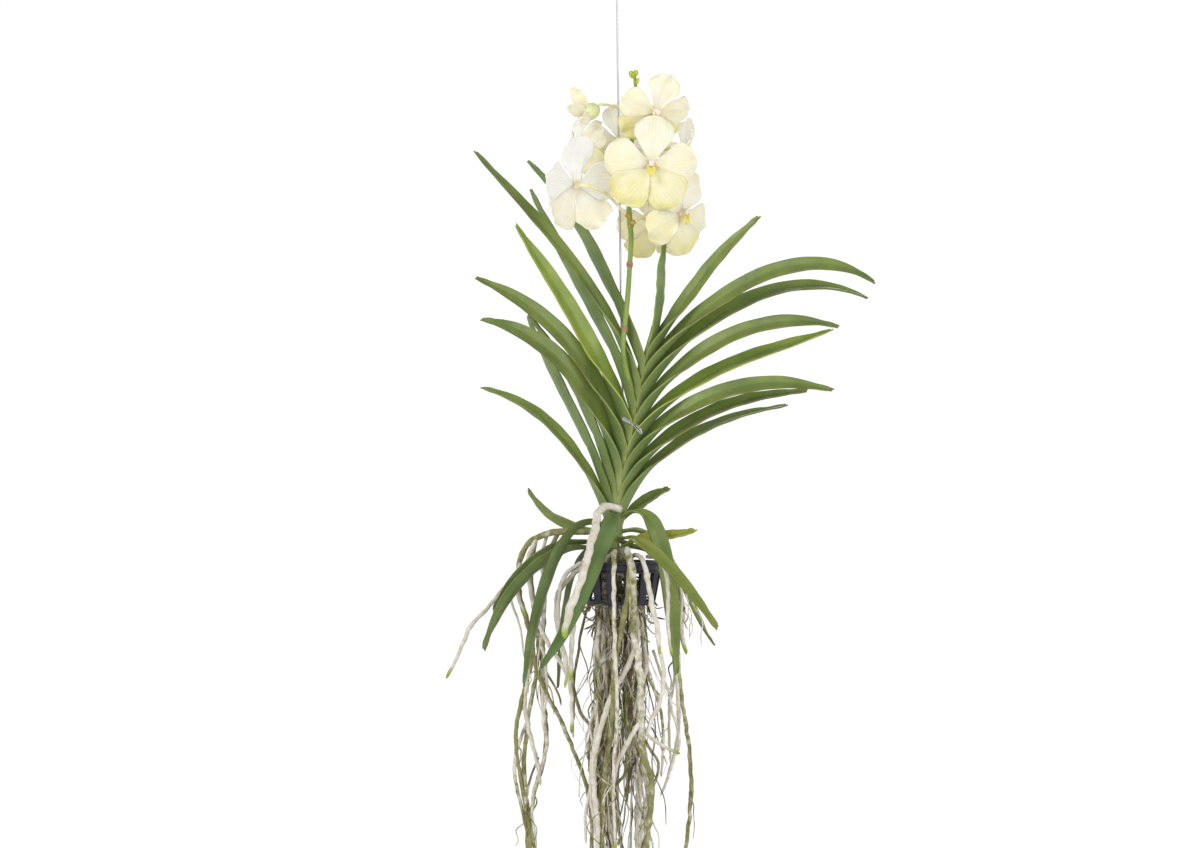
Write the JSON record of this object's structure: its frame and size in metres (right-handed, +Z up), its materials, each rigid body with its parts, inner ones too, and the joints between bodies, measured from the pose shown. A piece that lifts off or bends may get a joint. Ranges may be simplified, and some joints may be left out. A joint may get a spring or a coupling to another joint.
{
  "type": "hanging vanda orchid",
  "caption": "Vanda orchid in bloom with a fan of strap leaves and long hanging roots, held in a small slatted net basket on a stiff wire hanger with an open hook.",
  "frame": {"origin": "inside top of the hanger's hook, where it bears on a rail", "axes": "+Z up along the hanging plant, +X to the viewer's right across the leaf fan, -Y towards the viewer"},
  "size_m": [0.4282, 0.1749, 0.9909],
  "materials": {
    "leaf_green": "waxy green leaf",
    "leaf_yellow": "ageing yellow leaf",
    "stem_green": "fibrous stem",
    "spike_green": "smooth flower stalk",
    "petal_cream": "soft cream tepals",
    "lip_yellow": "yellow lip",
    "root_silver": "dry silvery aerial root",
    "root_olive": "olive aerial root",
    "basket_plastic": "dark moulded plastic",
    "wire_steel": "drawn steel wire"
  },
  "bodies": {
    "root": {"basket": "basket_plastic", "flower_1": "petal_cream", "flower_1_lip": "lip_yellow", "flower_2": "petal_cream", "flower_2_lip": "lip_yellow", "flower_3": "petal_cream", "flower_3_lip": "lip_yellow", "flower_4": "petal_cream", "flower_4_lip": "lip_yellow", "flower_5": "petal_cream", "flower_5_lip": "lip_yellow", "flower_6": "petal_cream", "flower_6_lip": "lip_yellow", "flower_7": "petal_cream", "flower_7_lip": "lip_yellow", "flower_8": "petal_cream", "flower_8_lip": "lip_yellow", "flower_spike": "spike_green", "hanger_wire": "wire_steel", "leaf_left_1": "leaf_green", "leaf_left_2": "leaf_green", "leaf_left_3": "leaf_green", "leaf_left_4": "leaf_green", "leaf_left_5": "leaf_green", "leaf_left_6": "leaf_green", "leaf_left_7": "leaf_green", "leaf_left_8": "leaf_green", "leaf_left_9": "leaf_green", "leaf_low_1": "leaf_green", "leaf_low_10": "leaf_green", "leaf_low_11": "leaf_green", "leaf_low_12": "leaf_green", "leaf_low_2": "leaf_green", "leaf_low_3": "leaf_yellow", "leaf_low_4": "leaf_green", "leaf_low_5": "leaf_yellow", "leaf_low_6": "leaf_green", "leaf_low_7": "leaf_green", "leaf_low_8": "leaf_green", "leaf_low_9": "leaf_green", "leaf_right_1": "leaf_green", "leaf_right_2": "leaf_green", "leaf_right_3": "leaf_green", "leaf_right_4": "leaf_green", "leaf_right_5": "leaf_green", "leaf_right_6": "leaf_green", "leaf_right_7": "leaf_green", "leaf_right_8": "leaf_green", "leaf_right_9": "leaf_green", "nodding_bud": "petal_cream", "root_white": "root_silver", "roots_back": "root_olive", "roots_front_left": "root_olive", "roots_front_right": "root_olive", "roots_left": "root_olive", "roots_right": "root_olive", "stem": "stem_green", "stem_tie": "wire_steel", "wire_hook": "wire_steel"}
  },
  "joints": []
}
